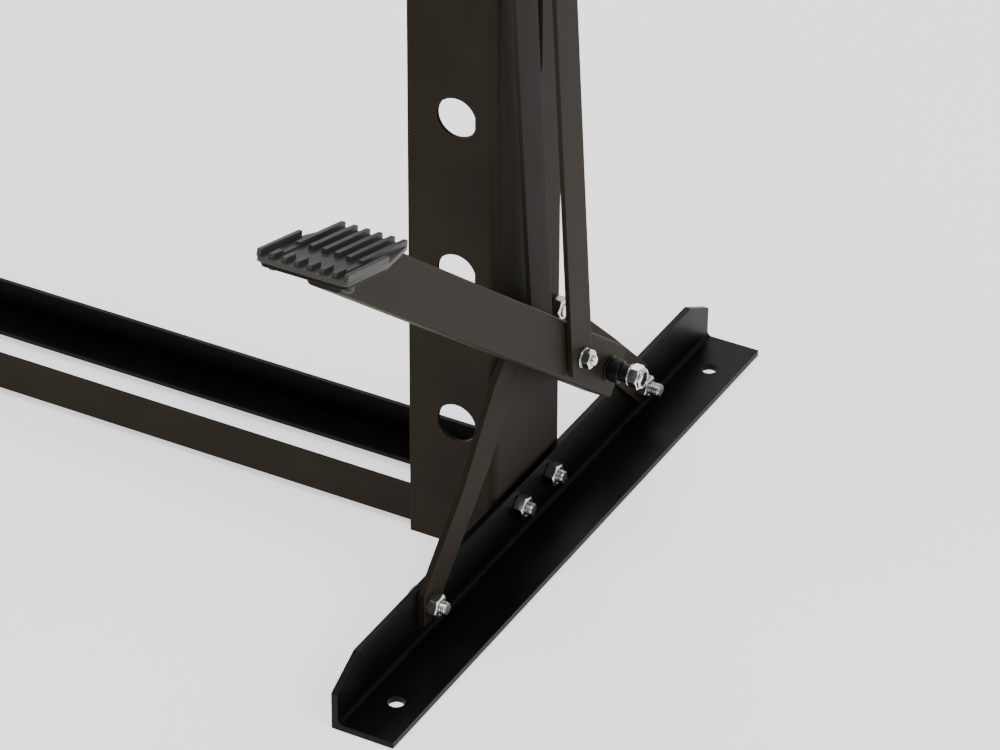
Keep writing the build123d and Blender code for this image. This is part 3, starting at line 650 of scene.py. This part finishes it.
def weld(name, beads, slot, body):
    build(name, [([Matrix.Identity(4)], shape) for shape in beads], slot, body, smooth=60)


def welds():
    """Rails to their end plates, and tread plate to lever."""
    outer, low, high, inner = 33.3, 4.5, 28.5, 13.7  # the rail's outer and inner sides, and its heights
    for place, side, slot in (("front", -1, "brown_coat"), ("rear", 1, "black_coat")):
        beads = []
        for end in (-1, 1):
            x, y, z = end * (RAIL_END - 0.6), side * outer, low + 3.4
            beads.append(bead((x, y, low + 4), (x, y, high - 1), 1.3))
            beads.append(bead((x, side * inner, z), (x, y - side * 0.6, z), 1.3))
        weld(f"rail_{place}_welds", beads, slot, "frame")
    matrix = tread_matrix()
    sides = [[matrix @ Vector((u, v, -0.6)) for u in (28.0, 70.0)] for v in (-10.3, 10.3)]
    weld("tread_welds", [bead(start, end, 1.2) for start, end in sides], "brown_coat", "pedal")


# ---- Camera, light and floor ----
def add_camera():
    level = Vector((math.cos(AZIMUTH), math.sin(AZIMUTH), 0))
    forward = Vector((-math.sin(AZIMUTH), math.cos(AZIMUTH), 0)) * math.cos(ELEVATION)
    forward.z = -math.sin(ELEVATION)
    up = level.cross(forward)
    right = level * math.cos(ROLL) + up * math.sin(ROLL)
    up = up * math.cos(ROLL) - level * math.sin(ROLL)
    data = bpy.data.cameras.new("camera")
    data.lens = LENS_MM
    data.sensor_width = 36
    data.clip_end = 30
    camera = bpy.data.objects.new("camera", data)
    turn = Matrix((right, up, -forward)).transposed().to_4x4()
    camera.matrix_world = Matrix.Translation(Vector(AIM) - forward * CAMERA_DISTANCE) @ turn
    bpy.context.scene.collection.objects.link(camera)
    bpy.context.scene.camera = camera


def area_light(name, place, target, size, power):
    data = bpy.data.lights.new(name, "AREA")
    data.shape = "RECTANGLE"
    data.size, data.size_y = size
    data.energy = power
    light = bpy.data.objects.new(name, data)
    light.location = place
    light.rotation_euler = (Vector(target) - Vector(place)).to_track_quat("-Z", "Y").to_euler()
    bpy.context.scene.collection.objects.link(light)


def add_world():
    """A soft dome, brighter overhead than at the horizon."""
    world = bpy.data.worlds.new("studio")
    world.use_nodes = True
    nodes, links = world.node_tree.nodes, world.node_tree.links
    place = nodes.new("ShaderNodeTexCoord")
    split = nodes.new("ShaderNodeSeparateXYZ")
    links.new(place.outputs["Generated"], split.inputs["Vector"])
    shade = ramp(nodes, links, split.outputs["Z"], (0.42, 0.42, 0.42), (0.7, 0.7, 0.7), (0.0, 0.9))
    links.new(shade, nodes["Background"].inputs["Color"])
    nodes["Background"].inputs["Strength"].default_value = 1.0
    bpy.context.scene.world = world


def add_floor():
    mesh = bpy.data.meshes.new("floor")
    reach = 8.0
    corners = [(-reach, -reach, 0), (reach, -reach, 0), (reach, reach, 0), (-reach, reach, 0)]
    mesh.from_pydata(corners, [], [(0, 1, 2, 3)])
    floor = bpy.data.objects.new("floor", mesh)
    bpy.context.scene.collection.objects.link(floor)
    material, nodes, links = new_material("floor_white")
    shader = nodes["Principled BSDF"]
    colour = ramp(nodes, links, noise(nodes, links, 3.0), (0.90, 0.90, 0.90), (0.92, 0.92, 0.92))
    links.new(colour, shader.inputs["Base Color"])
    shader.inputs["Roughness"].default_value = 0.9
    shader.inputs["Emission Color"].default_value = (1, 1, 1, 1)
    shader.inputs["Emission Strength"].default_value = 0.95
    mesh.materials.append(material)


MATERIALS = make_materials()
paint_cad()
for side_name, side_sign, bracket in (("near", 1, 4.0), ("far", -1, 0.0)):
    foot_fasteners(side_name, side_sign)
    brace_fasteners(side_name, side_sign)
    upper_fasteners(side_name, side_sign, bracket)
link_fasteners()
spring_fasteners()
jaw_fasteners()
pivot_set("lever", PEDAL_PIVOT)
pivot_set("arm", ARM_PIVOT)
rubber_tread()
coil_spring()
welds()
add_camera()
add_world()
add_floor()
area_light("overhead", (0.2, -0.4, 2.4), (0.3, 0, 0.2), (1.8, 1.8), 34)
area_light("right", (2.1, -0.2, 1.5), (0.45, 0, 0.3), (1.0, 1.0), 15)
area_light("rim", (-0.9, 2.2, 1.5), (0.45, 0, 0.15), (1.6, 1.0), 13)
